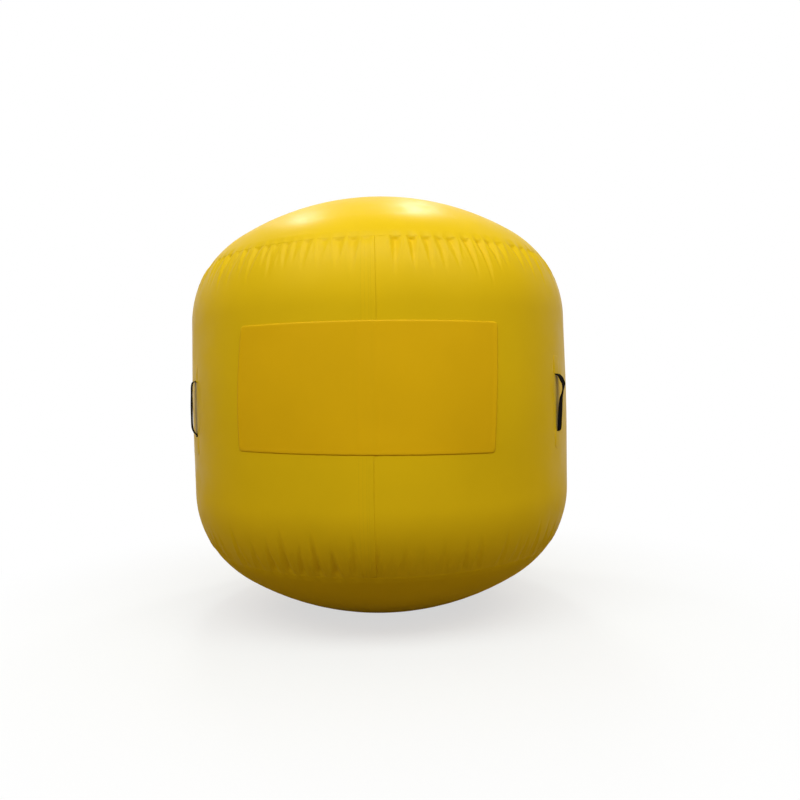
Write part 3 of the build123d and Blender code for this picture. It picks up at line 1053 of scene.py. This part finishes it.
# %% Mooring patch
mooring_patch_radius = 0.070
patch_rings = np.array([0.008, 0.030, 0.050, 0.058, 0.0600, 0.0620, 0.0665, 0.0690, mooring_patch_radius])
patch_dip = np.array([0, 0, 0, 0, -0.0003, 0, 0, -0.0002, -0.0004])
round_sides = 96
round_turns = np.linspace(0, 2 * math.pi, round_sides, endpoint=False)
patch_drop = hollow_height - fabric - patch_rest - patch_dip
points = turned(patch_rings[::-1, None], patch_drop[::-1, None], round_turns[None, :])
rows = len(patch_rings)
faces = grid_faces(rows, round_sides, closed=True) + pole_faces(rows, round_sides)
all_points = np.concatenate([points.reshape(-1, 3), [[0, 0, patch_drop[0]]]])
mooring_patch = make_piece(
    "mooring_cover", all_points, faces, all_points[:, :2], under_finish, "hull", ["mooring_patch"]
)
thicken(mooring_patch)
print("mooring patch", 2 * mooring_patch_radius, "m across")

# %% Mooring loop
ring_offset = -0.020
bar_hole = 0.0043
tab_webbing = 0.002
tab_width = 0.036
tab_length = 0.042
roof = hollow_height - fabric
bar_height = roof - 2 * tab_webbing - bar_hole
loop_turns = (
    # turn round the bar from the far side up, distance from its hole
    (90, 0.0030), (60, 0.0026), (25, 0.0017), (-10, 0.0012),
    (-50, 0.0011), (-90, 0.0011), (-130, 0.0011), (-170, 0.0014),
)
loop_line = [(ring_offset - tab_length, roof - 0.0012, 0), (ring_offset - 0.020, roof - 0.0012, 0)]
for turn, off_bar in loop_turns:
    angle, reach = math.radians(turn), bar_hole + off_bar
    loop_line.append((ring_offset + reach * math.cos(angle), bar_height + reach * math.sin(angle), 0))
loop_line += [
    (ring_offset - 0.0085, bar_height + 0.0034, 0),
    (ring_offset - 0.0140, roof - 0.0033, 0),
    (ring_offset - 0.024, roof - 0.0033, 0),
    (ring_offset - tab_length + 0.001, roof - 0.0033, 0),
]
soft_line, along = smooth_line(loop_line, 0.0008)
centre = np.stack([0 * along, soft_line[:, 0], soft_line[:, 1]], -1)
across = np.broadcast_to(np.array([1.0, 0, 0]), centre.shape)
facing_out = np.cross(heading_of(centre), across)
tab = webbing(
    "mooring_webbing", centre, across, facing_out, along, tab_width, tab_webbing, "mooring_tab"
)
print(tab.name, f"{along[-1]:.3f} m long")

# %% Box of stitches
stitch_length, stitch_gap, stitch_radius = 0.0028, 0.0008, 0.00035
box_half, box_near, box_far = 0.0130, ring_offset - 0.0165, ring_offset - 0.0385
stitch_level = roof - 0.0044
corners = [(-box_half, box_far), (box_half, box_far), (box_half, box_near), (-box_half, box_near)]
sewn_lines = list(zip(corners, corners[1:] + corners[:1]))
sewn_lines += [(corners[0], corners[2]), (corners[1], corners[3])]
points, faces, cut = [], [], []
bead_sides = 6
bead_turns = np.arange(bead_sides) / bead_sides * 2 * math.pi
bead = np.array([(-0.5, 0.35), (-0.42, 0.8), (0, 1.0), (0.42, 0.8), (0.5, 0.35)])
bead_end = (len(bead) - 1) * bead_sides
for begin, finish_at in sewn_lines:
    begin, finish_at = np.array(begin), np.array(finish_at)
    reach = np.linalg.norm(finish_at - begin)
    ahead = (finish_at - begin) / reach
    aside = np.array([-ahead[1], ahead[0]])
    count = max(1, int(reach / (stitch_length + stitch_gap)))
    for number in range(count):
        middle_at = begin + ahead * reach * (number + 0.5) / count
        first = len(points)
        for share, thick in bead:
            for angle in bead_turns:
                sideways = aside * thick * stitch_radius * math.cos(angle)
                flat = middle_at + ahead * share * stitch_length + sideways
                points.append((*flat, stitch_level + thick * stitch_radius * math.sin(angle)))
                cut.append(tuple(flat))
        faces += [tuple(first + k for k in face) for face in grid_faces(len(bead), bead_sides, closed=True)]
        faces += [tuple(first + k for k in range(bead_sides))]
        faces += [tuple(first + bead_end + k for k in reversed(range(bead_sides)))]
make_piece("mooring_stitches", points, faces, cut, stitch_finish, "hull")
print("mooring stitches:", len(points) // (len(bead) * bead_sides))

# %% [markdown]
# ## The valve
# On the pole of the top dome a round flange of thicker fabric is welded under the valve. The moulded valve,
# its keeper and its hinged cap are rigid CAD pieces. Only the flange is soft, so only it is made again: a
# shallow ring that follows the dome, with two pressed weld rings.

# %% Valve flange
flange_thickness = 0.0014
flange_seat = 0.0006
flange_hole, flange_radius = 0.0211, 0.0480
flange_rings = np.array([
    flange_hole, 0.0240, 0.0290, 0.0300, 0.0310, 0.0380, 0.0390, 0.0400, 0.0450, 0.0472, flange_radius,
])
flange_dip = np.array([0, 0, 0, 0.0003, 0, 0, 0.0003, 0, 0, 0.0001, 0.0005])
flange_rise = np.sqrt(crown_radius**2 - flange_rings**2) - crown_drop + upper_turn
flange_top = flange_rise + flange_thickness - flange_dip
points = turned(flange_rings[:, None], flange_top[:, None], round_turns[None, :])
flange = make_piece(
    "valve_flange_sheet", points, grid_faces(*points.shape[:2], closed=True), points[..., :2], dome_finish,
    "hull", ["valve_flange"],
)
thicken(flange, flange_thickness - flange_seat)
print("valve flange made,", len(flange_rings), "rings")

# %% [markdown]
# ## Size
# The dressed buoy has to be as large as the CAD model. The cell below only brings the scene up to date.

# %% Bring the scene up to date
bpy.context.view_layer.update()
